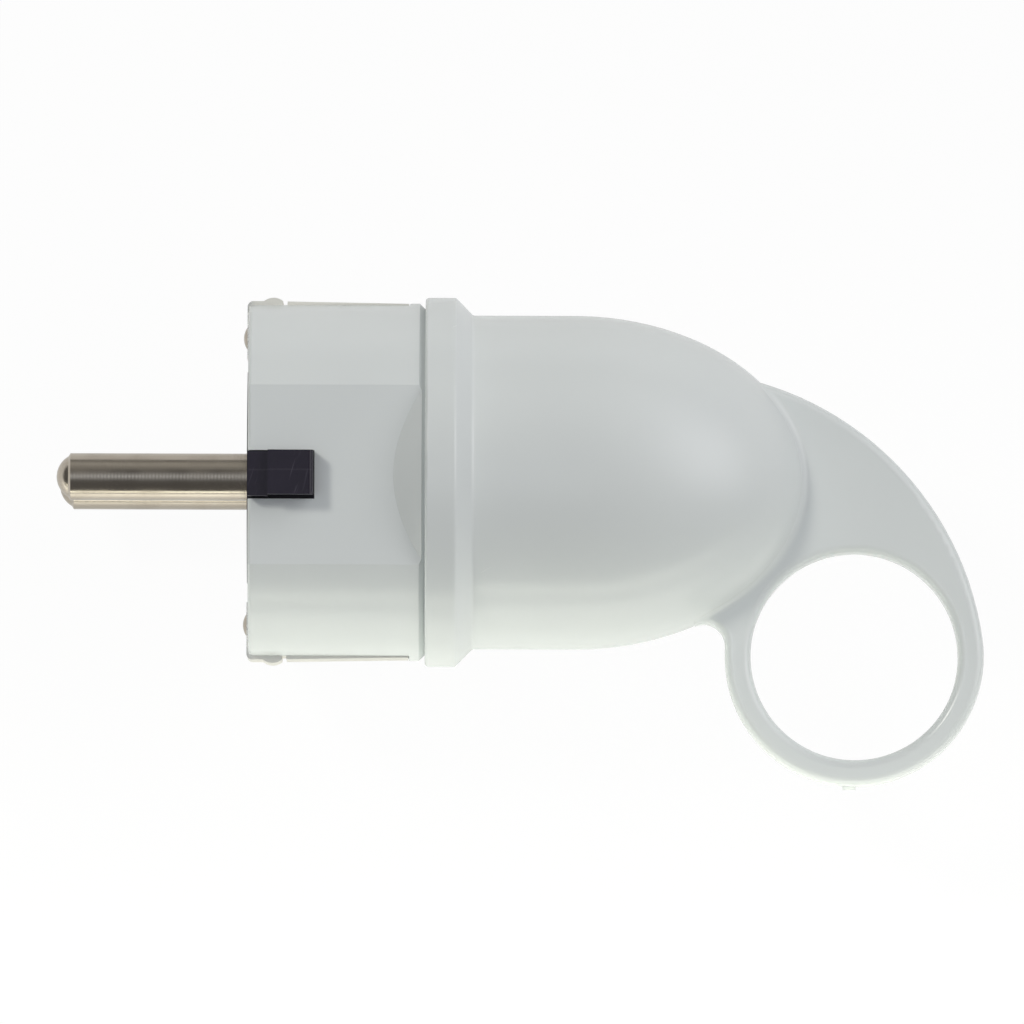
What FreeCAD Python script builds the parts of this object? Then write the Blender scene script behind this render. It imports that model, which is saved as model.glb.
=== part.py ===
import FreeCAD, Part
import math
import os

# Type F plug with a pull ring, lying on its side. Millimetres.
# The plug is drawn about its own axis: X = 0 is the front face, the pins point to -X,
# the ring hangs towards -Y and the two guide flats face +Z and -Z.

V = FreeCAD.Vector
ORIGIN = V(0, 0, 0)
ALONG = V(1, 0, 0)
ACROSS = V(0, 1, 0)
UP = V(0, 0, 1)
TOL = 1e-4
PAST = 1.0                  # how far a cutting tool runs past a face

# Pins
PIN_R = 2.4
PIN_REACH = 19.5            # tip to front face
PIN_PITCH = 19.0
TIP_RISE = 1.2              # height of the domed tip
TIP_STEP = 0.33             # dome is narrower than the pin by this on each side
TIP_CHAMFER = 0.22
SEAT_STEP = 0.35            # thicker stretch inside the carrier
TERMINAL_STEP = 0.65        # shoulder of the terminal end
TERMINAL_LEN = 11.0
TERMINAL_SUNK = 4.1
WIRE_R = 1.6
WIRE_DEPTH = 7.0

# White front shell
BODY_R = 18.25
BODY_LEN = 17.98
FLAT_DEPTH = 2.45           # guide flat below the round side
RUNOUT_LEN = 3.2            # cone that ends each guide flat
FRONT_ROUND = 0.4
JOINT_BEVEL = 0.6           # open joint towards the cover
SIDE_WALL = 1.95
FLAT_WALL = 1.5
LEDGE_LEN = 5.1             # carrier stops this far before the end of the body
SPIGOT_LEN = 3.0
SPIGOT_WALL = 2.2

# Black pin carrier
CARRIER_GAP = 0.1
PAD_PROUD = 0.1             # middle of the face stands out of the shell
PAD_HALF = 10.7
LUG_WIDTH = 4.5
LUG_LEN = 4.63              # high rear part of a guide lug
LUG_SHIFT = 0.12            # rear part sits off the middle, so the carrier goes in one way round
LEAD_LEN = 2.0              # low front part of a guide lug
LEAD_DROP = 0.9
LUG_SETBACK = 0.05
LUG_ROUND = 0.5
LUG_GAP = 0.1

# Rear cover
COLLAR_STEP = 0.6           # collar over the round side of the body
COLLAR_LEN = 3.1
COLLAR_ROUND = 0.35
CONE_LEN = 1.75
MOUTH_WALL = 2.15
MOUTH_GAP = 0.1
COVER_STEP = 1.8            # cover below the collar
COVER_LEN = 15.3            # collar face to the start of the dome
DOME_LEN = 23.7
COVER_WALL = 2.0

# Pull ring and its web
RING_HOLE_R = 10.6
RING_WIDTH = 2.6
RING_BEHIND = 4.85          # ring centre behind the nose of the dome
RING_BELOW = 0.7            # ring centre below the side of the cover
HANDLE_R = 31.9             # back of the handle
KINK_AHEAD = 4.63           # back of the handle leaves the dome this far ahead of the nose
HANDLE_THICK = 6.4
HANDLE_ROUND = 0.9
STEM_FILLET = 2.2
WEB_FILLET = 0.8

# Cord outlet and cord clamp
CORD_R = 3.6
CORD_BEHIND = 17.4          # cord axis behind the carrier
OUTLET_CLEAR = 1.0
GROMMET_WALL = 2.2
GROMMET_ROUND = 0.6
FLANGE_WIDTH = 1.2          # grommet's flange inside the cover
FLANGE_THICK = 1.2
CLAMP_WIDTH = 4.4
CLAMP_EDGE = 2.4            # screw axis to the end of the clamp
CLAMP_EAR = 2.2
CLAMP_ARCH = 1.8
CLAMP_CORNER = 1.4
CLAMP_CLEAR = 0.4
BRIDGE_FLOOR = 1.5
CLAMP_SCREW_R = 1.5
CLAMP_SCREW_DEPTH = 9.0

# Central cover screw and its bush
COVER_SCREW_R = 1.7
COVER_SCREW_SUNK = 1.2
COVER_SCREW_OUT = 1.0       # screw end past the bush
BUSH_WALL = 0.9
BUSH_LEN = 8.0
BUSH_BEHIND = 3.0           # bush behind the carrier
POST_WALL = 1.4

# Earth contacts
EARTH_WIDTH = 6.9
EARTH_GAP = 0.1
EARTH_RECESS = 0.85
EARTH_LEG_STOP = 1.7        # leg ends this far before the collar
EARTH_LEG_RISE = 0.02       # leg stands this far out of the body at the front
EARTH_LEG_FALL = 0.2
FACE_THICK = 0.6
FACE_PROUD = 0.2
TAB_EDGE = 2.2              # rivet axis to the end of the face tab
LIP_LEN = 3.43
RIB_START = 1.48
RIB_RISE = 0.4
LIP_RISE = 0.05
LIP_SLIT = 0.45
LIP_SLIT_DEPTH = 0.35
RIVET_R = 1.0
RIVET_INSET = 1.55          # rivet axis inside the carrier's edge
RIVET_HEAD_R = 1.2
RIVET_HEAD_RISE = 0.4
RIVET_TAIL_R = 1.5
RIVET_TAIL = 0.6
STRAP_THICK = 0.8
EARTH_SCREW_R = 1.6
EARTH_SCREW_INSET = 6.15    # earth screw inside the rivet
EARTH_SCREW_DEPTH = 5.0
WASHER_HALF = 3.1
WASHER_THICK = 0.9

# Screws
SCREW_GAP = 0.05
SCREW_HEAD_RATIO = 1.7      # head over shank
HEAD_HEIGHT = 1.9
SLOT_WIDTH = 0.8
SLOT_DEPTH = 0.9
GRUB_R = 1.5
GRUB_AT = 3.5               # terminal screw ahead of the wire end
GRUB_HEAD = 1.2

# Worked out from the sizes above
flat_half = BODY_R - FLAT_DEPTH
pocket_r = BODY_R - SIDE_WALL
pocket_half = flat_half - FLAT_WALL
carrier_r = pocket_r - CARRIER_GAP
carrier_half = pocket_half - CARRIER_GAP
carrier_len = BODY_LEN - LEDGE_LEN
collar_r = BODY_R + COLLAR_STEP
lie = collar_r              # collar, guide lugs and cord outlet all reach this level
mouth_r = collar_r - MOUTH_WALL
spigot_r = mouth_r - MOUTH_GAP
spigot_end = BODY_LEN + SPIGOT_LEN
rear_hole_r = spigot_r - SPIGOT_WALL
seat_r = PIN_R + SEAT_STEP
seat_x = carrier_len - TERMINAL_SUNK
terminal_r = seat_r + TERMINAL_STEP
terminal_end = seat_x + TERMINAL_LEN
pin_z = PIN_PITCH / 2
cover_r = collar_r - COVER_STEP
cavity_r = cover_r - COVER_WALL
cavity_dome = DOME_LEN - COVER_WALL
dome_x = BODY_LEN + COVER_LEN
nose_x = dome_x + DOME_LEN
ring_r = RING_HOLE_R + RING_WIDTH
ring_x = nose_x + RING_BEHIND
ring_y = -cover_r - RING_BELOW
web_half = HANDLE_THICK / 2
bush_r = COVER_SCREW_R + BUSH_WALL
bush_x = carrier_len + BUSH_BEHIND
bush_end = bush_x + BUSH_LEN
post_r = bush_r + POST_WALL
cover_head_x = COVER_SCREW_SUNK + HEAD_HEIGHT
cord_x = carrier_len + CORD_BEHIND
outlet_r = CORD_R + OUTLET_CLEAR
grommet_r = outlet_r + GROMMET_WALL
flange_r = cavity_r - FLANGE_THICK
clamp_y = CORD_R + CLAMP_ARCH + CLAMP_SCREW_R * SCREW_HEAD_RATIO + SCREW_GAP
clamp_half = clamp_y + CLAMP_EDGE
clamp_z1 = -post_r - CLAMP_CLEAR
clamp_z0 = clamp_z1 - CLAMP_WIDTH
clamp_z = (clamp_z0 + clamp_z1) / 2
earth_half = EARTH_WIDTH / 2
earth_slot = earth_half + EARTH_GAP
leg_end = BODY_LEN - EARTH_LEG_STOP
rivet_y = carrier_r - RIVET_INSET
tab_y = rivet_y - TAB_EDGE
earth_screw_y = rivet_y - EARTH_SCREW_INSET
face_back = FACE_THICK - FACE_PROUD
strap_x = carrier_len - RIVET_TAIL - STRAP_THICK - EARTH_GAP
strap_end = strap_x + STRAP_THICK


def rod(x0, x1, r, y=0.0, z=0.0):
    """Cylinder along X."""
    return Part.makeCylinder(r, x1 - x0, V(x0, y, z), ALONG)


def block(x0, x1, y0, y1, z0, z1):
    return Part.makeBox(x1 - x0, y1 - y0, z1 - z0, V(x0, y0, z0))


def span(side, a, b):
    """Low and high end of the stretch from a to b on the + or - side."""
    return sorted((side * a, side * b))


def slab(x0, x1, half_y, half_z):
    """Block centred on the plug axis."""
    return block(x0, x1, -half_y, half_y, -half_z, half_z)


def path(points):
    """Straight edges through (x, y) points."""
    pairs = zip(points, points[1:])
    return [Part.LineSegment(V(*a, 0), V(*b, 0)).toShape() for a, b in pairs]


def turned(edges):
    """Solid of revolution about the plug axis from a closed outline in XY."""
    return Part.Face(Part.Wire(edges)).revolve(ORIGIN, ALONG, 360)


def extruded(edges, z0, z1, holes=()):
    """Closed XY outline pulled from z0 to z1."""
    face = Part.Face([Part.Wire(edges), *holes])
    face.translate(V(0, 0, z0))
    return face.extrude(V(0, 0, z1 - z0))


def quarter_ellipse(x, length, r):
    """Dome outline from (x, r) to (x + length, 0)."""
    if length > r:
        ellipse = Part.Ellipse(V(x, 0, 0), length, r)
        return Part.ArcOfEllipse(ellipse, 0, math.pi / 2).toShape()
    ellipse = Part.Ellipse(V(x, r, 0), V(x + length, 0, 0), V(x, 0, 0))
    return Part.ArcOfEllipse(ellipse, -math.pi / 2, 0).toShape()


def circles(shape, x, r):
    """Round edges of radius r about the plug axis at x."""
    found = []
    for edge in shape.Edges:
        box = edge.BoundBox
        if box.XLength < TOL and abs(box.XMin - x) < TOL and abs(box.YMax - r) < TOL:
            found.append(edge)
    return found


def slotted_screw(head_r, head_height, shank_r, shank_len):
    """Screw along +X, with the underside of its head at X = 0."""
    screw = rod(-head_height, 0, head_r).fuse(rod(0, shank_len, shank_r))
    slot = slab(-head_height - PAST, SLOT_DEPTH - head_height, head_r, SLOT_WIDTH / 2)
    return screw.cut(slot).removeSplitter()


def placed(shape, x, y, z, turn=0.0, about=UP):
    """Copy turned about the origin, then moved."""
    moved = shape.copy()
    moved.rotate(ORIGIN, about, turn)
    moved.translate(V(x, y, z))
    return moved


def front_shell():
    """Sleeve with two guide flats that run out in a cone, and a spigot for the cover."""
    bevel = [(BODY_LEN - JOINT_BEVEL, BODY_R), (BODY_LEN, BODY_R - JOINT_BEVEL)]
    body = turned(path([(0, 0), (0, BODY_R), *bevel, (BODY_LEN, 0), (0, 0)]))
    runout_x = BODY_LEN - RUNOUT_LEN
    start = (runout_x, 0)
    cone = turned(path([start, (runout_x, flat_half), (BODY_LEN, BODY_R), (BODY_LEN, 0), start]))
    for side in (1, -1):
        beyond = block(-PAST, BODY_LEN, -BODY_R, BODY_R, *span(side, flat_half, BODY_R + PAST))
        body = body.cut(beyond.cut(cone))
    front = [e for e in body.Edges if e.BoundBox.XMax < TOL]
    body = body.makeFillet(FRONT_ROUND, front)
    body = body.fuse(rod(BODY_LEN, spigot_end, spigot_r))
    pocket = rod(-PAST, carrier_len, pocket_r)
    rear_hole = rod(-PAST, spigot_end + PAST, rear_hole_r)
    flat_sided = slab(-PAST, spigot_end + PAST, pocket_r, pocket_half)
    body = body.cut(pocket.fuse(rear_hole).common(flat_sided))
    slot_end = LUG_SETBACK + LEAD_LEN + LUG_LEN + LUG_GAP
    body = body.cut(slab(-PAST, slot_end, LUG_WIDTH / 2 + LUG_SHIFT + LUG_GAP, lie))
    for side in (1, -1):
        groove = span(side, BODY_R - EARTH_RECESS, BODY_R + PAST)
        body = body.cut(block(-PAST, leg_end + EARTH_GAP, *groove, -earth_slot, earth_slot))
        notch = span(side, tab_y, BODY_R + PAST)
        body = body.cut(block(-PAST, face_back, *notch, -earth_slot, earth_slot))
    return body.removeSplitter()


def guide_lug(side):
    """Two-step lug on one flat of the carrier."""
    lead_x = LUG_SETBACK + LEAD_LEN
    root = carrier_half - FLAT_WALL
    middle = side * LUG_SHIFT
    half = LUG_WIDTH / 2
    lead = block(LUG_SETBACK, lead_x, -half, half, *span(side, root, lie - LEAD_DROP))
    lug = block(lead_x, lead_x + LUG_LEN, middle - half, middle + half, *span(side, root, lie))
    top = [e for e in lug.Edges if abs(e.CenterOfMass.z - side * lie) < TOL]
    rear = [e for e in top if e.BoundBox.XMin > lead_x + TOL]
    return lead.fuse(lug.makeFillet(LUG_ROUND, rear))


def cord_way(r):
    """Round way of the cord through clamp and outlet, along Z."""
    return Part.makeCylinder(r, 2 * lie, V(cord_x, 0, -lie), UP)


def pin_carrier():
    """Black core with the guide lugs, pin seats and the posts and bridge of the cord clamp."""
    core = rod(0, carrier_len, carrier_r).common(slab(0, carrier_len, carrier_r, carrier_half))
    core = core.fuse(rod(-PAD_PROUD, 0, carrier_half).common(slab(-PAD_PROUD, 0, PAD_HALF, carrier_half)))
    bridge_x = cord_x - CORD_R - BRIDGE_FLOOR
    bridge = block(bridge_x, cord_x, -clamp_half, clamp_half, clamp_z0, clamp_z1)
    posts = [rod(carrier_len, bridge_x, CLAMP_EDGE, side * clamp_y, clamp_z) for side in (1, -1)]
    core = core.fuse([guide_lug(1), guide_lug(-1), bridge, *posts]).cut(cord_way(CORD_R))
    for side in (1, -1):
        core = core.cut(rod(-PAST, seat_x, seat_r + SCREW_GAP, 0, side * pin_z))
        core = core.cut(rod(seat_x, carrier_len + PAST, terminal_r + SCREW_GAP, 0, side * pin_z))
        tap_x = cord_x - CLAMP_SCREW_DEPTH
        core = core.cut(rod(tap_x, cord_x + PAST, CLAMP_SCREW_R + SCREW_GAP, side * clamp_y, clamp_z))
        core = core.cut(rod(-PAST, carrier_len, RIVET_R + SCREW_GAP, side * rivet_y))
        notch = span(side, tab_y - EARTH_GAP, carrier_r)
        core = core.cut(block(-PAST, face_back, *notch, -earth_slot, earth_slot))
    core = core.cut(slab(strap_x, carrier_len + PAST, carrier_r, earth_slot))
    core = core.cut(rod(-PAST, carrier_len, COVER_SCREW_R + 2 * SCREW_GAP))
    core = core.cut(rod(-PAST, cover_head_x, COVER_SCREW_R * SCREW_HEAD_RATIO + CARRIER_GAP))
    core = core.cut(rod(strap_x - EARTH_SCREW_DEPTH, strap_x, EARTH_SCREW_R + SCREW_GAP, earth_screw_y))
    return core.removeSplitter()


def plug_pin(side):
    """Turned pin with a domed tip and a drilled terminal end."""
    cap_r = PIN_R - TIP_STEP
    tip_x = -PIN_REACH
    cap_x = tip_x + TIP_RISE
    sphere_r = (cap_r ** 2 + TIP_RISE ** 2) / (2 * TIP_RISE)
    middle = math.asin(cap_r / sphere_r) / 2
    on_cap = V(tip_x + sphere_r * (1 - math.cos(middle)), sphere_r * math.sin(middle), 0)
    cap = Part.Arc(V(tip_x, 0, 0), on_cap, V(cap_x, cap_r, 0)).toShape()
    shank = path([
        (cap_x, cap_r), (cap_x + TIP_CHAMFER, PIN_R), (-PAD_PROUD, PIN_R), (-PAD_PROUD, seat_r),
        (seat_x, seat_r), (seat_x, terminal_r), (terminal_end, terminal_r), (terminal_end, 0), (tip_x, 0)])
    pin = turned([cap] + shank)
    pin = pin.cut(rod(terminal_end - WIRE_DEPTH, terminal_end + PAST, WIRE_R))
    pin = pin.cut(Part.makeCylinder(GRUB_R + SCREW_GAP, terminal_r, V(terminal_end - GRUB_AT, 0, 0), ACROSS))
    return placed(pin, 0, 0, side * pin_z)


def terminal_screw(side):
    """Slotted screw across the end of a pin."""
    screw = slotted_screw(GRUB_R * SCREW_HEAD_RATIO, GRUB_HEAD, GRUB_R, terminal_r)
    return placed(screw, terminal_end - GRUB_AT, terminal_r, side * pin_z, -90)


def earth_contact(side):
    """Strip in the side of the shell, with a ribbed lip at the front edge and a tab on the face."""
    floor = BODY_R - EARTH_RECESS
    top = BODY_R + EARTH_LEG_RISE
    lip = BODY_R + LIP_RISE
    rib = BODY_R + RIB_RISE
    slit_end = LIP_LEN + LIP_SLIT
    slit_floor = top - LIP_SLIT_DEPTH
    inner = path([
        (-FACE_PROUD, tab_y), (face_back, tab_y), (face_back, floor), (leg_end, floor),
        (leg_end, top - EARTH_LEG_FALL), (slit_end, top), (slit_end, slit_floor),
        (LIP_LEN, slit_floor), (LIP_LEN, lip)])
    rib_middle = V((RIB_START + LIP_LEN) / 2, rib, 0)
    crest = Part.Arc(V(LIP_LEN, lip, 0), rib_middle, V(RIB_START, lip, 0)).toShape()
    ahead = path([(RIB_START, lip), (face_back, lip)])
    cut_in = FACE_THICK * (1 - math.sqrt(0.5))
    corner = Part.Arc(V(face_back, lip, 0), V(cut_in - FACE_PROUD, lip - cut_in, 0),
                      V(-FACE_PROUD, lip - FACE_THICK, 0)).toShape()
    face = path([(-FACE_PROUD, lip - FACE_THICK), (-FACE_PROUD, tab_y)])
    strip = extruded(inner + [crest] + ahead + [corner] + face, -earth_half, earth_half)
    strip = strip.cut(rod(-PAST, carrier_len, RIVET_R + SCREW_GAP, rivet_y))
    return placed(strip, 0, 0, 0, 90 - 90 * side, ALONG)


def earth_rivet(side):
    """Long rivet from the face tab to the strap behind the carrier."""
    sphere_r = (RIVET_HEAD_R ** 2 + RIVET_HEAD_RISE ** 2) / (2 * RIVET_HEAD_RISE)
    head_x = -FACE_PROUD
    head = Part.makeSphere(sphere_r, V(head_x - RIVET_HEAD_RISE + sphere_r, 0, 0))
    head = head.common(rod(head_x - PAST, head_x, sphere_r))
    tail = rod(strap_end, strap_end + RIVET_TAIL, RIVET_TAIL_R)
    rivet = head.fuse([rod(head_x, strap_end, RIVET_R), tail])
    return placed(rivet.removeSplitter(), 0, side * rivet_y, 0)


def earth_strap():
    """Strip across the back of the carrier that joins both rivets."""
    strap_r = carrier_r - EARTH_GAP
    strap = rod(strap_x, strap_end, strap_r).common(slab(strap_x, strap_end, strap_r, earth_half))
    for side in (1, -1):
        strap = strap.cut(rod(strap_x, strap_end, RIVET_R + SCREW_GAP, side * rivet_y))
    strap = strap.cut(rod(strap_x, strap_end, COVER_SCREW_R + 2 * SCREW_GAP))
    return strap.cut(rod(strap_x, strap_end, EARTH_SCREW_R + SCREW_GAP, earth_screw_y))


def earth_clamp_washer():
    """Square washer that presses the earth wire on the strap."""
    ends = (earth_screw_y - WASHER_HALF, earth_screw_y + WASHER_HALF)
    washer = block(strap_end, strap_end + WASHER_THICK, *ends, -WASHER_HALF, WASHER_HALF)
    return washer.cut(rod(strap_end, strap_end + WASHER_THICK, EARTH_SCREW_R + SCREW_GAP, earth_screw_y))


def earth_terminal_screw():
    shank = WASHER_THICK + STRAP_THICK + EARTH_SCREW_DEPTH - SCREW_GAP
    screw = slotted_screw(EARTH_SCREW_R * SCREW_HEAD_RATIO, HEAD_HEIGHT, EARTH_SCREW_R, shank)
    return placed(screw, strap_end + WASHER_THICK, earth_screw_y, 0, 180)


def cord_clamp_saddle():
    """Arched bar screwed down on the carrier's bridge, over the cord's way."""
    ear_end = cord_x + CLAMP_EAR
    ears = block(cord_x, ear_end, -clamp_half, clamp_half, clamp_z0, clamp_z1)
    corners = [e for e in ears.Edges if e.BoundBox.XLength > TOL]
    arch_r = CORD_R + CLAMP_ARCH
    arch = Part.makeCylinder(arch_r, CLAMP_WIDTH, V(cord_x, 0, clamp_z0), UP)
    arch = arch.common(block(cord_x, cord_x + arch_r, -arch_r, arch_r, clamp_z0, clamp_z1))
    saddle = ears.makeFillet(CLAMP_CORNER, corners).fuse(arch).cut(cord_way(CORD_R))
    for side in (1, -1):
        saddle = saddle.cut(rod(cord_x, ear_end, CLAMP_SCREW_R + SCREW_GAP, side * clamp_y, clamp_z))
    return saddle.removeSplitter()


def cord_clamp_screw(side):
    shank = CLAMP_EAR + CLAMP_SCREW_DEPTH - SCREW_GAP
    screw = slotted_screw(CLAMP_SCREW_R * SCREW_HEAD_RATIO, HEAD_HEIGHT, CLAMP_SCREW_R, shank)
    return placed(screw, cord_x + CLAMP_EAR, side * clamp_y, clamp_z, 180)


def cover_screw():
    shank = bush_end + COVER_SCREW_OUT - cover_head_x
    screw = slotted_screw(COVER_SCREW_R * SCREW_HEAD_RATIO, HEAD_HEIGHT, COVER_SCREW_R, shank)
    return placed(screw, cover_head_x, 0, 0)


def cover_insert():
    """Threaded bush in the post of the cover."""
    return rod(bush_x, bush_end, bush_r).cut(rod(bush_x, bush_end, COVER_SCREW_R + SCREW_GAP))


def stem_corner():
    """Centre and touching point of the fillet between the dome and the ring's front side.

    The centre lies one fillet radius ahead of the ring and as far outside the dome's outline,
    so the angle on the ellipse is found by halving its range.
    """
    centre_x = ring_x - ring_r - STEM_FILLET
    low, high = 0.0, math.pi / 2
    while high - low > TOL ** 2:
        angle = (low + high) / 2
        normal = V(cover_r * math.sin(angle), -DOME_LEN * math.cos(angle), 0).normalize()
        touch = V(dome_x + DOME_LEN * math.sin(angle), -cover_r * math.cos(angle), 0)
        centre = touch + normal * STEM_FILLET
        if centre.x < centre_x:
            low = angle
        else:
            high = angle
    return centre, touch


def handle_back(ring):
    """Centre of the handle's back: an arc from the kink on the dome that runs tangent into the ring."""
    kink_y = cover_r * math.sqrt(1 - (1 - KINK_AHEAD / DOME_LEN) ** 2)
    to_kink = V(nose_x - KINK_AHEAD, kink_y, 0) - ring
    reach = HANDLE_R - ring_r
    along = (reach ** 2 - HANDLE_R ** 2 + to_kink.Length ** 2) / (2 * to_kink.Length)
    aside = math.sqrt(reach ** 2 - along ** 2)
    to_kink.normalize()
    return ring + to_kink * along + UP.cross(to_kink) * aside


def handle():
    """Flat web and ring: a long arc behind the dome that runs tangent into the ring."""
    ring = V(ring_x, ring_y, 0)
    back = handle_back(ring)
    reach = (ring - back).normalize()
    lean = math.atan2(reach.y, reach.x)
    join = ring + reach * ring_r
    centre, touch = stem_corner()
    rise = math.acos((touch.x - back.x) / HANDLE_R)
    root = back + V(math.cos(rise), math.sin(rise), 0) * HANDLE_R
    half_way = (rise + lean) / 2
    back_arc = Part.Arc(root, back + V(math.cos(half_way), math.sin(half_way), 0) * HANDLE_R, join).toShape()
    front = ring - V(ring_r, 0, 0)
    ring_arc = Part.Arc(join, ring - V(0, ring_r, 0), front).toShape()
    stem_top = V(front.x, centre.y, 0)
    stem = Part.LineSegment(front, stem_top).toShape()
    inward = ((stem_top - centre).normalize() + (touch - centre).normalize()).normalize()
    corner = Part.Arc(stem_top, centre + inward * STEM_FILLET, touch).toShape()
    buried = Part.LineSegment(touch, root).toShape()
    hole = Part.Wire(Part.makeCircle(RING_HOLE_R, ring, UP))
    web = extruded([back_arc, ring_arc, stem, corner, buried], -web_half, web_half, [hole])
    rims = [e for e in web.Edges if e.BoundBox.ZLength < TOL and e.BoundBox.XLength > TOL]
    return web.makeFillet(HANDLE_ROUND, rims)


def where_web_meets_dome(shape):
    """Edges on the dome that lie in the two flat faces of the web."""
    found = []
    for edge in shape.Edges:
        box = edge.BoundBox
        if box.ZLength < TOL and abs(box.ZMax ** 2 - web_half ** 2) < TOL:
            middle = edge.valueAt((edge.FirstParameter + edge.LastParameter) / 2)
            along = (middle.x - dome_x) / DOME_LEN
            across = math.hypot(middle.y, middle.z) / cover_r
            if abs(along ** 2 + across ** 2 - 1) < TOL:
                found.append(edge)
    return found


def wiring_space():
    """Inside of the cover, from the mouth that takes the spigot to the dome."""
    step_x = spigot_end + MOUTH_GAP
    mouth_x = BODY_LEN - PAST
    straight = path([(dome_x + cavity_dome, 0), (mouth_x, 0), (mouth_x, mouth_r), (step_x, mouth_r),
                     (step_x, cavity_r), (dome_x, cavity_r)])
    return turned(straight + [quarter_ellipse(dome_x, cavity_dome, cavity_r)])


def rear_cover():
    """Hood: collar, dome, web and pull ring in one moulding, hollow for the wiring."""
    cone_x = BODY_LEN + COLLAR_LEN
    straight_x = cone_x + CONE_LEN
    side = path([(nose_x, 0), (BODY_LEN, 0), (BODY_LEN, collar_r), (cone_x, collar_r),
                 (straight_x, cover_r), (dome_x, cover_r)])
    hood = turned(side + [quarter_ellipse(dome_x, DOME_LEN, cover_r)])
    rims = circles(hood, BODY_LEN, collar_r) + circles(hood, cone_x, collar_r)
    rims += circles(hood, straight_x, cover_r)
    hood = hood.makeFillet(COLLAR_ROUND, rims).fuse(handle())
    hood = hood.makeFillet(WEB_FILLET, where_web_meets_dome(hood))
    hollow = wiring_space()
    post = rod(bush_x, nose_x, post_r).common(hollow)
    hood = hood.cut(hollow).fuse(post)
    hood = hood.cut(rod(bush_x, bush_end, bush_r))
    hood = hood.cut(rod(bush_end, bush_end + BUSH_BEHIND, COVER_SCREW_R + 2 * SCREW_GAP))
    hood = hood.cut(Part.makeCylinder(grommet_r + SCREW_GAP, lie - post_r, V(cord_x, 0, -lie - PAST), UP))
    return hood.removeSplitter()


def cord_grommet():
    """Soft sleeve in the cover's underside, with a flange that follows the inside of the wall."""
    sleeve = Part.makeCylinder(grommet_r, lie, V(cord_x, 0, -lie), UP)
    rim = [e for e in sleeve.Edges if e.BoundBox.ZMax < TOL - lie]
    sleeve = sleeve.makeFillet(GROMMET_ROUND, rim)
    flange = Part.makeCylinder(grommet_r + FLANGE_WIDTH, lie, V(cord_x, 0, -lie), UP).common(wiring_space())
    grommet = sleeve.fuse(flange).cut(rod(BODY_LEN, nose_x, flange_r))
    return grommet.cut(cord_way(outlet_r)).removeSplitter()


nodes = {
    "rear_cover": rear_cover(),
    "front_shell": front_shell(),
    "pin_carrier": pin_carrier(),
    "live_pin": plug_pin(1),
    "neutral_pin": plug_pin(-1),
    "live_terminal_screw": terminal_screw(1),
    "neutral_terminal_screw": terminal_screw(-1),
    "earth_contact_top": earth_contact(1),
    "earth_contact_bottom": earth_contact(-1),
    "earth_rivet_top": earth_rivet(1),
    "earth_rivet_bottom": earth_rivet(-1),
    "earth_strap": earth_strap(),
    "earth_clamp_washer": earth_clamp_washer(),
    "earth_terminal_screw": earth_terminal_screw(),
    "cord_clamp_saddle": cord_clamp_saddle(),
    "cord_clamp_screw_a": cord_clamp_screw(1),
    "cord_clamp_screw_b": cord_clamp_screw(-1),
    "cover_screw": cover_screw(),
    "cover_insert": cover_insert(),
    "cord_grommet": cord_grommet(),
}

# The origin goes under the middle of the lying plug.
length_middle = (ring_x + ring_r - PIN_REACH) / 2
width_middle = (collar_r + ring_y - ring_r) / 2
to_floor = V(-length_middle, -width_middle, lie)

os.makedirs("parts", exist_ok=True)
for name, shape in nodes.items():
    shape.translate(to_floor)
    shape.exportStep(f"parts/{name}.step")
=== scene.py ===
import math

import bmesh
import bpy
import numpy as np
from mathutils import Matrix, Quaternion, Vector


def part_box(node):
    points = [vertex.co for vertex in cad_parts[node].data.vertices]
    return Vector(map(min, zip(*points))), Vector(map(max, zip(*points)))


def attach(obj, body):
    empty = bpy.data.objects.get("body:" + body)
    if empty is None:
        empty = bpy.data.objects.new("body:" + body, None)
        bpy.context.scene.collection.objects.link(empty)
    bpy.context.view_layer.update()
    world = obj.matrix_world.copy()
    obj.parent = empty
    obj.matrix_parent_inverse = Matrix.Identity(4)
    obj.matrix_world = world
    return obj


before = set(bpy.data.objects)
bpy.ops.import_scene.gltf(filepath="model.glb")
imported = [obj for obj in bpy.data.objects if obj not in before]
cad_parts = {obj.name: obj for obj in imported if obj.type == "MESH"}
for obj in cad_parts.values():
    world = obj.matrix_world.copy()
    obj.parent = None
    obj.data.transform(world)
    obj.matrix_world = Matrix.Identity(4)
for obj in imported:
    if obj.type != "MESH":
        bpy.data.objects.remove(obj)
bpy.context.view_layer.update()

# Front shell: the white sleeve that goes into the socket, with a guide flat on each broad side.
# It is injection moulded in ABS, and the black carrier slides into it from the front.


def colour(hex_value):
    """sRGB hex to linear RGBA: c / 12.92 up to 0.04045, else ((c + 0.055) / 1.055) ** 2.4."""
    c = np.array([int(hex_value[i:i + 2], 16) for i in (0, 2, 4)]) / 255
    linear = np.where(c <= 0.04045, c / 12.92, ((c + 0.055) / 1.055) ** 2.4)
    return (*linear.tolist(), 1.0)


def node(owner, kind, inputs, **settings):
    """Adds a shader node, sets its properties and fills each named input with a value or a link."""
    tree = owner.node_tree
    made = tree.nodes.new(kind)
    for name, value in settings.items():
        setattr(made, name, value)
    for socket, value in inputs.items():
        if isinstance(value, bpy.types.NodeSocket):
            tree.links.new(value, made.inputs[socket])
        else:
            made.inputs[socket].default_value = value
    return made


def blank(name):
    """New material with no nodes."""
    material = bpy.data.materials.new(name)
    material.use_nodes = True
    material.node_tree.nodes.clear()
    return material


def per_mm(size):
    """Texture scale, in cycles per metre, of a pattern that repeats every size millimetres."""
    return 1000.0 / size


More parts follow.
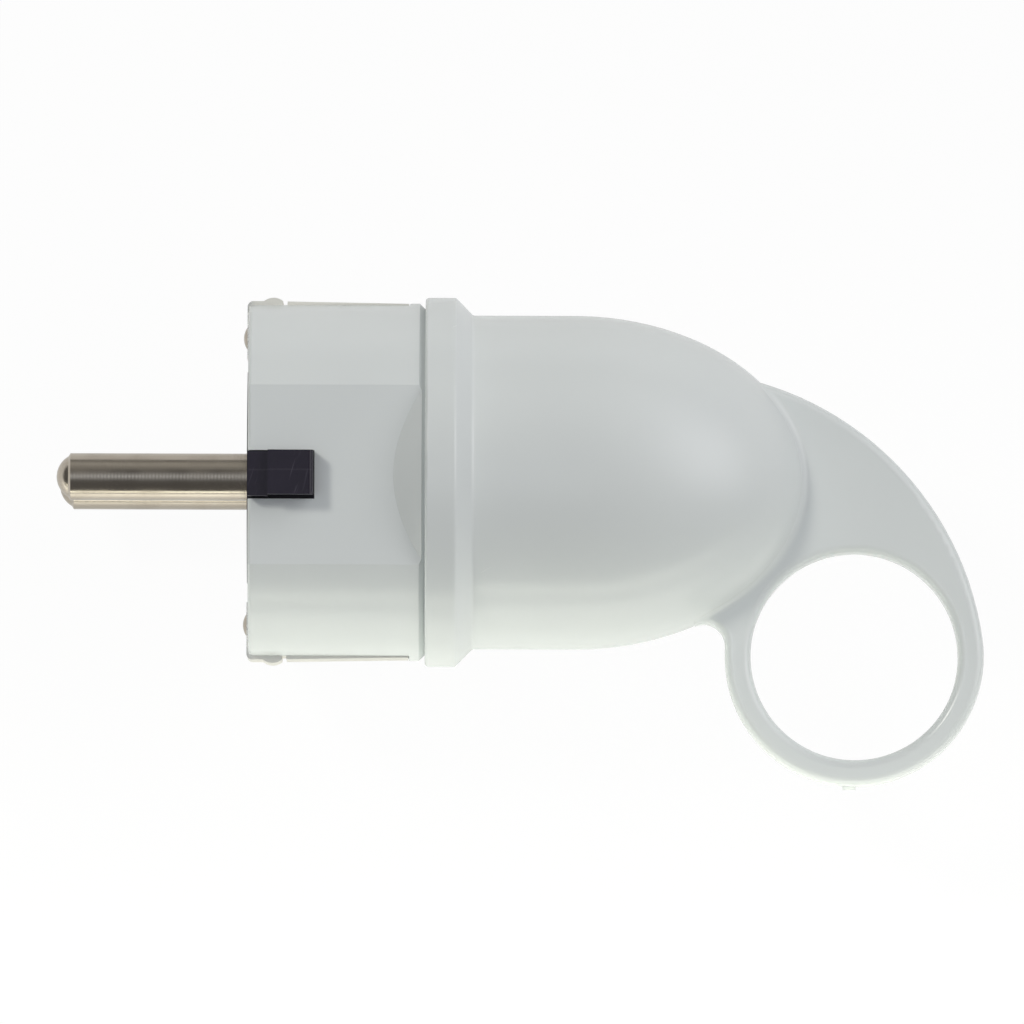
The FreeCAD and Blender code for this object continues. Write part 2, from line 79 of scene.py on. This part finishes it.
# ABS from a polished mould: cool white with a faint cloud, a clear gloss that wavers a little with
# the flow of the melt, hairline rubs that dull it in places, and a few specks of dust.
PLASTIC_IOR = 1.53
RUB_TURN = math.radians(28)
RUB_LENGTH = 0.009
RUB_WIDTH = 0.00035
white_abs = blank("white_abs_polished_mould")
place = node(white_abs, "ShaderNodeTexCoord", {}).outputs["Object"]
cloud = node(white_abs, "ShaderNodeTexNoise", {
    "Vector": place, "Scale": per_mm(14), "Detail": 3.0})
specks = node(white_abs, "ShaderNodeTexVoronoi", {"Vector": place, "Scale": per_mm(6.5)})
speck = node(white_abs, "ShaderNodeMapRange", {
    "Value": specks.outputs["Distance"],
    "From Min": 0.012, "From Max": 0.022, "To Min": 0.3, "To Max": 0.0})
tone = node(white_abs, "ShaderNodeMix", {
    "Factor": cloud.outputs["Fac"],
    "A": colour("DFE3E4"), "B": colour("E5E9E9")}, data_type="RGBA")
speckled = node(white_abs, "ShaderNodeMix", {
    "Factor": speck.outputs["Result"],
    "A": tone.outputs["Result"], "B": colour("9A9B97")}, data_type="RGBA")
along_rub = node(white_abs, "ShaderNodeMapping", {
    "Vector": place, "Rotation": (0.0, 0.0, RUB_TURN),
    "Scale": (RUB_LENGTH, RUB_WIDTH, RUB_LENGTH)}, vector_type="TEXTURE")
rubs = node(white_abs, "ShaderNodeTexNoise", {
    "Vector": along_rub.outputs[0], "Scale": 1.0, "Detail": 2.0})
dulled = node(white_abs, "ShaderNodeMapRange", {
    "Value": rubs.outputs["Fac"],
    "From Min": 0.62, "From Max": 0.85, "To Min": 0.25, "To Max": 0.28})
peel = node(white_abs, "ShaderNodeTexNoise", {
    "Vector": place, "Scale": per_mm(3.2), "Detail": 1.0})
waver = node(white_abs, "ShaderNodeBump", {
    "Height": peel.outputs["Fac"], "Strength": 0.05, "Distance": 0.0002})
shader = node(white_abs, "ShaderNodeBsdfPrincipled", {
    "Base Color": speckled.outputs["Result"], "Roughness": dulled.outputs["Result"],
    "Normal": waver.outputs["Normal"], "IOR": PLASTIC_IOR})
node(white_abs, "ShaderNodeOutputMaterial", {"Surface": shader.outputs[0]})


def dress(material, *names):
    """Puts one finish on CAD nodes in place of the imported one."""
    for name in names:
        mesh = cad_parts[name].data
        mesh.materials.clear()
        mesh.materials.append(material)


dress(white_abs, "front_shell")
shell_low, shell_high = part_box("front_shell")
axis_point = (shell_low + shell_high) / 2
front_x = shell_low.x

# Pin carrier: the black core that holds the pins and shows as a guide lug on each flat and as the
# face between the pins. It is moulded in glass-filled nylon and screwed to the hood from the front.
#
# Glass-filled nylon: near-black with a violet cast, a satin skin with a fine grain, pale hairline
# scratches from the socket's guides, and the mould's parting line along the middle of each lug.
SCRATCH_TURN = math.radians(72)
SCRATCH_LENGTH = 0.004
SCRATCH_WIDTH = 0.00022
PARTING_ASIDE = 0.00036
PARTING_HALF = 0.00004
PARTING_FADED = 0.00012
black_nylon = blank("black_nylon_glass_filled")
place = node(black_nylon, "ShaderNodeTexCoord", {}).outputs["Object"]
stain = node(black_nylon, "ShaderNodeTexNoise", {
    "Vector": place, "Scale": per_mm(3.5), "Detail": 3.0})
skin = node(black_nylon, "ShaderNodeMix", {
    "Factor": stain.outputs["Fac"],
    "A": colour("1A1523"), "B": colour("221B2D")}, data_type="RGBA")
along_scratch = node(black_nylon, "ShaderNodeMapping", {
    "Vector": place, "Rotation": (0.0, 0.0, SCRATCH_TURN),
    "Scale": (SCRATCH_LENGTH, SCRATCH_WIDTH, SCRATCH_LENGTH)}, vector_type="TEXTURE")
scratches = node(black_nylon, "ShaderNodeTexNoise", {
    "Vector": along_scratch.outputs[0], "Scale": 1.0, "Detail": 1.0})
scratch = node(black_nylon, "ShaderNodeMapRange", {
    "Value": scratches.outputs["Fac"],
    "From Min": 0.65, "From Max": 0.8, "To Min": 0.0, "To Max": 0.5})
scratched = node(black_nylon, "ShaderNodeMix", {
    "Factor": scratch.outputs["Result"],
    "A": skin.outputs["Result"], "B": colour("57535F")}, data_type="RGBA")
across = node(black_nylon, "ShaderNodeSeparateXYZ", {"Vector": place}).outputs["Y"]
aside = node(black_nylon, "ShaderNodeMath", {
    0: across, 1: axis_point.y + PARTING_ASIDE}, operation="SUBTRACT")
off_line = node(black_nylon, "ShaderNodeMath", {0: aside.outputs[0]}, operation="ABSOLUTE")
parting = node(black_nylon, "ShaderNodeMapRange", {
    "Value": off_line.outputs[0],
    "From Min": PARTING_HALF, "From Max": PARTING_FADED, "To Min": 0.22, "To Max": 0.0})
lined = node(black_nylon, "ShaderNodeMix", {
    "Factor": parting.outputs["Result"],
    "A": scratched.outputs["Result"], "B": colour("4A4650")}, data_type="RGBA")
grain = node(black_nylon, "ShaderNodeTexNoise", {
    "Vector": place, "Scale": per_mm(0.45), "Detail": 2.0})
satin = node(black_nylon, "ShaderNodeMapRange", {
    "Value": grain.outputs["Fac"],
    "From Min": 0.3, "From Max": 0.7, "To Min": 0.28, "To Max": 0.4})
grained = node(black_nylon, "ShaderNodeBump", {
    "Height": grain.outputs["Fac"], "Strength": 0.08, "Distance": 0.0001})
shader = node(black_nylon, "ShaderNodeBsdfPrincipled", {
    "Base Color": lined.outputs["Result"], "Roughness": satin.outputs["Result"],
    "Normal": grained.outputs["Normal"], "IOR": PLASTIC_IOR, "Specular IOR Level": 0.35})
node(black_nylon, "ShaderNodeOutputMaterial", {"Surface": shader.outputs[0]})
dress(black_nylon, "pin_carrier")

# Pins: two round contacts, turned from brass rod and nickel plated, with a domed tip. The thick
# rear end carries the wire and sits in the carrier.
#
# Nickel on turned brass: warm grey, drawn into fine streaks along the pin by the socket's contacts,
# with patches where the plate has dulled, and feed marks drawn coarser than the real ones to show.
FEED_MARK = 0.00035
WAVE_PERIOD = math.tau / 20  # at a scale of 1, the bands of a wave texture repeat at this distance
nickel = blank("nickel_plate_on_turned_brass")
place = node(nickel, "ShaderNodeTexCoord", {}).outputs["Object"]
patches = node(nickel, "ShaderNodeTexNoise", {
    "Vector": place, "Scale": per_mm(4), "Detail": 3.0})
along_pin = node(nickel, "ShaderNodeMapping", {
    "Vector": place, "Scale": (per_mm(16), per_mm(0.3), per_mm(0.3))})
streaks = node(nickel, "ShaderNodeTexNoise", {
    "Vector": along_pin.outputs[0], "Scale": 1.0, "Detail": 2.0})
streaky = node(nickel, "ShaderNodeMix", {
    "Factor": streaks.outputs["Fac"],
    "A": colour("AFA598"), "B": colour("C6BDB1")}, data_type="RGBA")
worn = node(nickel, "ShaderNodeMapRange", {
    "Value": patches.outputs["Fac"],
    "From Min": 0.5, "From Max": 0.75, "To Min": 0.0, "To Max": 0.5})
plated = node(nickel, "ShaderNodeMix", {
    "Factor": worn.outputs["Result"],
    "A": streaky.outputs["Result"], "B": colour("9F9588")}, data_type="RGBA")
dull = node(nickel, "ShaderNodeMapRange", {
    "Value": patches.outputs["Fac"],
    "From Min": 0.35, "From Max": 0.7, "To Min": 0.17, "To Max": 0.28})
marks = node(nickel, "ShaderNodeTexWave", {
    "Vector": place, "Scale": WAVE_PERIOD / FEED_MARK, "Distortion": 0.6, "Detail": 1.0})
turned = node(nickel, "ShaderNodeBump", {
    "Height": marks.outputs["Fac"], "Strength": 0.05, "Distance": 0.00003})
shader = node(nickel, "ShaderNodeBsdfPrincipled", {
    "Base Color": plated.outputs["Result"], "Metallic": 1.0,
    "Roughness": dull.outputs["Result"], "Normal": turned.outputs["Normal"]})
node(nickel, "ShaderNodeOutputMaterial", {"Surface": shader.outputs[0]})
dress(nickel, "live_pin", "neutral_pin")

# Earth contacts: two bent strips in the sides of the shell, each with a ribbed lip at the front,
# riveted to the carrier and joined by a strap behind it. They are pressed from plated brass strip,
# and the rivets are turned and plated as the pins are.
#
# Nickel on rolled strip: paler than the pins, with rolling lines along the strip and a soft sheen,
# which the socket's springs have rubbed dull on the legs, behind the shell's front face.
RUBBED_FROM = 0.0006
pressed = blank("nickel_plate_on_rolled_strip")
place = node(pressed, "ShaderNodeTexCoord", {}).outputs["Object"]
along_strip = node(pressed, "ShaderNodeMapping", {
    "Vector": place, "Scale": (per_mm(10), per_mm(0.4), per_mm(0.25))})
rolling = node(pressed, "ShaderNodeTexNoise", {
    "Vector": along_strip.outputs[0], "Scale": 1.0, "Detail": 2.0})
rolled = node(pressed, "ShaderNodeMix", {
    "Factor": rolling.outputs["Fac"],
    "A": colour("E0DDD3"), "B": colour("F2F0E8")}, data_type="RGBA")
sheen = node(pressed, "ShaderNodeMapRange", {
    "Value": rolling.outputs["Fac"],
    "From Min": 0.3, "From Max": 0.7, "To Min": 0.2, "To Max": 0.32})
behind = node(pressed, "ShaderNodeSeparateXYZ", {"Vector": place}).outputs["X"]
rubbed = node(pressed, "ShaderNodeMapRange", {
    "Value": behind,
    "From Min": front_x, "From Max": front_x + RUBBED_FROM, "To Min": 0.0, "To Max": 0.18})
worn_sheen = node(pressed, "ShaderNodeMath", {
    0: sheen.outputs["Result"], 1: rubbed.outputs["Result"]}, operation="ADD")
lines = node(pressed, "ShaderNodeBump", {
    "Height": rolling.outputs["Fac"], "Strength": 0.04, "Distance": 0.00003})
shader = node(pressed, "ShaderNodeBsdfPrincipled", {
    "Base Color": rolled.outputs["Result"], "Metallic": 1.0,
    "Roughness": worn_sheen.outputs[0], "Normal": lines.outputs["Normal"]})
node(pressed, "ShaderNodeOutputMaterial", {"Surface": shader.outputs[0]})
dress(pressed, "earth_contact_top", "earth_contact_bottom", "earth_strap")
dress(nickel, "earth_rivet_top", "earth_rivet_bottom")

# Screws, washer and cord clamp: slotted steel screws in the terminals, the clamp and the hood, a
# square earth washer, and an arched saddle that holds the cord on the carrier's bridge.
#
# Bright zinc on steel: bluish grey in small crystals, each with its own tone and gloss.
zinc = blank("bright_zinc_on_steel")
place = node(zinc, "ShaderNodeTexCoord", {}).outputs["Object"]
crystals = node(zinc, "ShaderNodeTexVoronoi", {"Vector": place, "Scale": per_mm(0.7)})
crystal = node(zinc, "ShaderNodeSeparateColor", {
    "Color": crystals.outputs["Color"]}).outputs["Red"]
bloom = node(zinc, "ShaderNodeTexNoise", {"Vector": place, "Scale": per_mm(2.5), "Detail": 3.0})
spangle = node(zinc, "ShaderNodeMix", {
    "Factor": crystal, "A": colour("A7ACB4"), "B": colour("BFC3C8")}, data_type="RGBA")
zinced = node(zinc, "ShaderNodeMix", {
    "Factor": bloom.outputs["Fac"],
    "A": spangle.outputs["Result"], "B": colour("B4B1A6")}, data_type="RGBA")
crystal_gloss = node(zinc, "ShaderNodeMapRange", {
    "Value": crystal, "To Min": 0.26, "To Max": 0.42})
shader = node(zinc, "ShaderNodeBsdfPrincipled", {
    "Base Color": zinced.outputs["Result"], "Metallic": 1.0,
    "Roughness": crystal_gloss.outputs["Result"]})
node(zinc, "ShaderNodeOutputMaterial", {"Surface": shader.outputs[0]})
dress(zinc, "live_terminal_screw", "neutral_terminal_screw", "earth_clamp_washer",
      "earth_terminal_screw", "cord_clamp_saddle", "cord_clamp_screw_a", "cord_clamp_screw_b",
      "cover_screw")

# Threaded bush: a plain sleeve, turned from brass rod and pressed into the post of the hood. The
# central screw draws the hood on to the shell by it.
#
# Bare turned brass: yellow, browned in patches by handling, with fine feed marks round it.
brass = blank("bare_turned_brass")
place = node(brass, "ShaderNodeTexCoord", {}).outputs["Object"]
browning = node(brass, "ShaderNodeTexNoise", {"Vector": place, "Scale": per_mm(2), "Detail": 3.0})
browned = node(brass, "ShaderNodeMix", {
    "Factor": browning.outputs["Fac"],
    "A": colour("D0AC62"), "B": colour("A98645")}, data_type="RGBA")
handled = node(brass, "ShaderNodeMapRange", {
    "Value": browning.outputs["Fac"], "To Min": 0.2, "To Max": 0.38})
marks = node(brass, "ShaderNodeTexWave", {
    "Vector": place, "Scale": WAVE_PERIOD / FEED_MARK, "Detail": 1.0})
turned = node(brass, "ShaderNodeBump", {
    "Height": marks.outputs["Fac"], "Strength": 0.1, "Distance": 0.00003})
shader = node(brass, "ShaderNodeBsdfPrincipled", {
    "Base Color": browned.outputs["Result"], "Metallic": 1.0,
    "Roughness": handled.outputs["Result"], "Normal": turned.outputs["Normal"]})
node(brass, "ShaderNodeOutputMaterial", {"Surface": shader.outputs[0]})
dress(brass, "cover_insert")

# Cord grommet: a soft sleeve with a flange, moulded in PVC. It is pushed into the hole in the
# hood's underside from within, and the flange keeps it there.
#
# Soft PVC: dark grey and matt, with the fine grain of an eroded mould.
soft_pvc = blank("soft_black_pvc")
place = node(soft_pvc, "ShaderNodeTexCoord", {}).outputs["Object"]
mottle = node(soft_pvc, "ShaderNodeTexNoise", {"Vector": place, "Scale": per_mm(5), "Detail": 3.0})
dark = node(soft_pvc, "ShaderNodeMix", {
    "Factor": mottle.outputs["Fac"],
    "A": colour("252527"), "B": colour("313033")}, data_type="RGBA")
spark = node(soft_pvc, "ShaderNodeTexNoise", {
    "Vector": place, "Scale": per_mm(0.25), "Detail": 2.0})
matt = node(soft_pvc, "ShaderNodeMapRange", {
    "Value": spark.outputs["Fac"], "To Min": 0.5, "To Max": 0.7})
eroded = node(soft_pvc, "ShaderNodeBump", {
    "Height": spark.outputs["Fac"], "Strength": 0.2, "Distance": 0.00006})
shader = node(soft_pvc, "ShaderNodeBsdfPrincipled", {
    "Base Color": dark.outputs["Result"], "Roughness": matt.outputs["Result"],
    "Normal": eroded.outputs["Normal"], "IOR": PLASTIC_IOR})
node(soft_pvc, "ShaderNodeOutputMaterial", {"Surface": shader.outputs[0]})
dress(soft_pvc, "cord_grommet")

# Rear cover: collar, hood, web and pull ring in one white moulding, held by the central screw.
# Under the ring it keeps the stub of the gate where the melt came in, broken off by hand.
dress(white_abs, "rear_cover")
RING_R = 0.0132
GATE_AHEAD = 0.0005
GATE_R = 0.00067
GATE_UNEVEN = 0.04
GATE_SUNK = 0.0004
GATE_RISE = 0.00035
GATE_SLOPE = 0.75
BREAK_WAVE = 0.12 * GATE_RISE
BREAK_TURN = 0.7
GATE_AROUND = 40
GATE_ROWS = 31
SAME_POINT = 1e-7
cover_low, cover_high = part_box("rear_cover")
gate_x = cover_high.x - RING_R - GATE_AHEAD


def gate_stub(u, v):
    """Broken stub that points to -Y, for u round it and v from its foot's middle to its end's.

    Up to v = 1/3 the foot spreads as a disc, GATE_SUNK inside the ring, with three faint lobes.
    From there the wall runs up to v = 2/3 and GATE_RISE outside, where its height has fallen by the
    share GATE_SLOPE, as the break is slanted. Beyond it the end closes as a flat oval, which is
    raised at its edge by a wave of two lobes.
    """
    turn = math.tau * u
    spread = np.clip(3 * v, 0, 1)
    up_wall = np.clip(3 * v - 1, 0, 1)
    inward = np.clip(3 * v - 2, 0, 1)
    r = GATE_R * spread * (1 - inward) * (1 + GATE_UNEVEN * np.sin(3 * turn))
    wave = BREAK_WAVE * np.sin(2 * turn + BREAK_TURN) * (1 - inward) * up_wall
    out = -GATE_SUNK + (GATE_SUNK + GATE_RISE) * up_wall + wave
    height = r * (1 - GATE_SLOPE * np.clip(out / GATE_RISE, 0, 1))
    x = gate_x + r * np.cos(turn)
    z = axis_point.z + height * np.sin(turn)
    return np.stack([x, cover_low.y - out, z], -1)


def skin_of(name, shape, around, rows):
    """Closed mesh of a surface that closes round u and comes to a point at both ends of v."""
    u, v = np.meshgrid(np.arange(around) / around, np.linspace(0, 1, rows), indexing="ij")
    points = shape(u, v).reshape(-1, 3)
    i, j = np.meshgrid(np.arange(around), np.arange(rows - 1), indexing="ij")
    here, following = i * rows + j, (i + 1) % around * rows + j
    quads = np.stack([here, following, following + 1, here + 1], -1)
    mesh = bpy.data.meshes.new(name)
    mesh.from_pydata(points.tolist(), [], quads.reshape(-1, 4).tolist())
    merged = bmesh.new()
    merged.from_mesh(mesh)
    bmesh.ops.remove_doubles(merged, verts=merged.verts, dist=SAME_POINT)
    merged.to_mesh(mesh)
    merged.free()
    piece = bpy.data.objects.new(name, mesh)
    bpy.context.scene.collection.objects.link(piece)
    return piece


gate = skin_of("gate_stub", gate_stub, GATE_AROUND, GATE_ROWS)
gate.data.materials.append(white_abs)
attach(gate, "root")

# White table that the plug lies on. The camera sees it white and mirror-like surfaces see it pale,
# and a share of its own shading stays in, so it keeps the plug's shadow.
TABLE_REACH = 6.0
MIRRORED_SHARE = 0.4
WHITE_SHARE = 0.95
scene = bpy.context.scene
scene.view_settings.view_transform = "Standard"
floor_mesh = bpy.data.meshes.new("table")
corners = TABLE_REACH * np.array([[-1, -1, 0], [1, -1, 0], [1, 1, 0], [-1, 1, 0]])
floor_mesh.from_pydata(corners.tolist(), [], [[0, 1, 2, 3]])
table = bpy.data.objects.new("table", floor_mesh)
scene.collection.objects.link(table)
white_table = blank("white_table")
paint = node(white_table, "ShaderNodeBsdfDiffuse", {"Color": colour("F0F0F0")})
glow = node(white_table, "ShaderNodeEmission", {"Color": colour("FFFFFF"), "Strength": 1.0})
rays = node(white_table, "ShaderNodeLightPath", {})
passed = node(white_table, "ShaderNodeMath", {
    0: rays.outputs["Is Glossy Ray"], 1: rays.outputs["Is Transmission Ray"]}, operation="MAXIMUM")
mirrored = node(white_table, "ShaderNodeMath", {
    0: passed.outputs[0], 1: MIRRORED_SHARE}, operation="MULTIPLY")
seen = node(white_table, "ShaderNodeMath", {
    0: rays.outputs["Is Camera Ray"], 1: mirrored.outputs[0]}, operation="MAXIMUM")
share = node(white_table, "ShaderNodeMath", {
    0: seen.outputs[0], 1: WHITE_SHARE}, operation="MULTIPLY")
mixed = node(white_table, "ShaderNodeMixShader", {
    "Fac": share.outputs[0], 1: paint.outputs[0], 2: glow.outputs[0]})
node(white_table, "ShaderNodeOutputMaterial", {"Surface": mixed.outputs[0]})
floor_mesh.materials.append(white_table)

# Studio: a grey room with broad white panels behind and over the plug, a lamp above its front that
# throws the lug's shadow back, and a strip low over the table, whose light the table sends up.
ROOM_GREY = 0.12
PANELS = (  # azimuth, elevation, narrowness, strength, tint
    (15, 34, 14, 2.42, "FFFFFF"),
    (45, 28, 14, 1.0, "FCFDFF"),
    (90, 28, 14, 0.32, "FFFFF8"),
    (180, 72, 40, 2.32, "EDF5FF"),
)
FRONT_LAMP_ANGLES = (143, 51)
FRONT_LAMP_SIZE = (0.18, 0.18)
FRONT_LAMP_WATTS = 2.68
LOW_STRIP_OFF_AXIS = Vector((-0.064, -0.17, 0.026))
LOW_STRIP_SIZE = (0.5, 0.2)
LOW_STRIP_WATTS = 0.86
DOWN = Vector((0.0, 0.0, -1.0))


def outward(azimuth, elevation):
    """Unit vector at an angle from +X and above the table, both in degrees."""
    a, e = math.radians(azimuth), math.radians(elevation)
    return Vector((math.cos(e) * math.cos(a), math.cos(e) * math.sin(a), math.sin(e)))


world = bpy.data.worlds.new("room_with_panels")
scene.world = world
world.use_nodes = True
world.node_tree.nodes.clear()
direction = node(world, "ShaderNodeTexCoord", {}).outputs["Generated"]
sky = (ROOM_GREY, ROOM_GREY, ROOM_GREY)
for azimuth, elevation, narrowness, strength, tint in PANELS:
    facing = node(world, "ShaderNodeVectorMath", {
        0: direction, 1: outward(azimuth, elevation)}, operation="DOT_PRODUCT")
    ahead = node(world, "ShaderNodeMath", {
        0: facing.outputs["Value"], 1: 0.0}, operation="MAXIMUM")
    spread = node(world, "ShaderNodeMath", {
        0: ahead.outputs[0], 1: narrowness}, operation="POWER")
    panel = node(world, "ShaderNodeVectorMath", {
        0: [strength * c for c in colour(tint)[:3]], "Scale": spread.outputs[0]}, operation="SCALE")
    both = node(world, "ShaderNodeVectorMath", {0: sky, 1: panel.outputs[0]}, operation="ADD")
    sky = both.outputs[0]
lit = node(world, "ShaderNodeBackground", {"Color": sky, "Strength": 1.0})
node(world, "ShaderNodeOutputWorld", {"Surface": lit.outputs[0]})


def softbox(name, place, aim, size, watts, tint):
    """Rectangular lamp at a place, facing a point, that the camera doesn't see."""
    lamp = bpy.data.lights.new(name, "AREA")
    lamp.shape = "RECTANGLE"
    lamp.size, lamp.size_y = size
    lamp.energy = watts
    lamp.color = colour(tint)[:3]
    box = bpy.data.objects.new(name, lamp)
    box.location = place
    box.rotation_mode = "QUATERNION"
    box.rotation_quaternion = (aim - place).to_track_quat("-Z", "Y")
    box.visible_camera = False
    scene.collection.objects.link(box)


lamp_place = axis_point + outward(*FRONT_LAMP_ANGLES)
softbox("front_lamp", lamp_place, axis_point, FRONT_LAMP_SIZE, FRONT_LAMP_WATTS, "FFFDF3")
strip_place = axis_point + LOW_STRIP_OFF_AXIS
softbox("low_strip", strip_place, strip_place + DOWN, LOW_STRIP_SIZE, LOW_STRIP_WATTS, "FDFFF1")

# Camera: far off and almost straight above the plug, tipped a little towards the ring's side. Its
# frame is as wide as the photograph's at the scale of the near pin.
FRAME_PIXELS = 1024
PIXELS_PER_M = 9790
AIM_BEHIND_FACE = 0.026845
AIM_ASIDE = -0.003
VIEW_DISTANCE = 2.4
VIEW_TILT = math.radians(87.26)
VIEW_ROLL = math.radians(0.18)
frame_width = FRAME_PIXELS / PIXELS_PER_M
aim = Vector((front_x + AIM_BEHIND_FACE, axis_point.y + AIM_ASIDE, axis_point.z))
back = Vector((0.0, -math.cos(VIEW_TILT), math.sin(VIEW_TILT)))
upright = (-back).to_track_quat("-Z", "Y")
lens = bpy.data.cameras.new("photo_view")
lens.sensor_width = 36.0
lens.lens = lens.sensor_width * VIEW_DISTANCE / frame_width
lens.clip_start = 0.01
camera = bpy.data.objects.new("photo_view", lens)
camera.location = aim + back * VIEW_DISTANCE
camera.rotation_mode = "QUATERNION"
camera.rotation_quaternion = upright @ Quaternion((0.0, 0.0, 1.0), VIEW_ROLL)
scene.collection.objects.link(camera)
scene.camera = camera
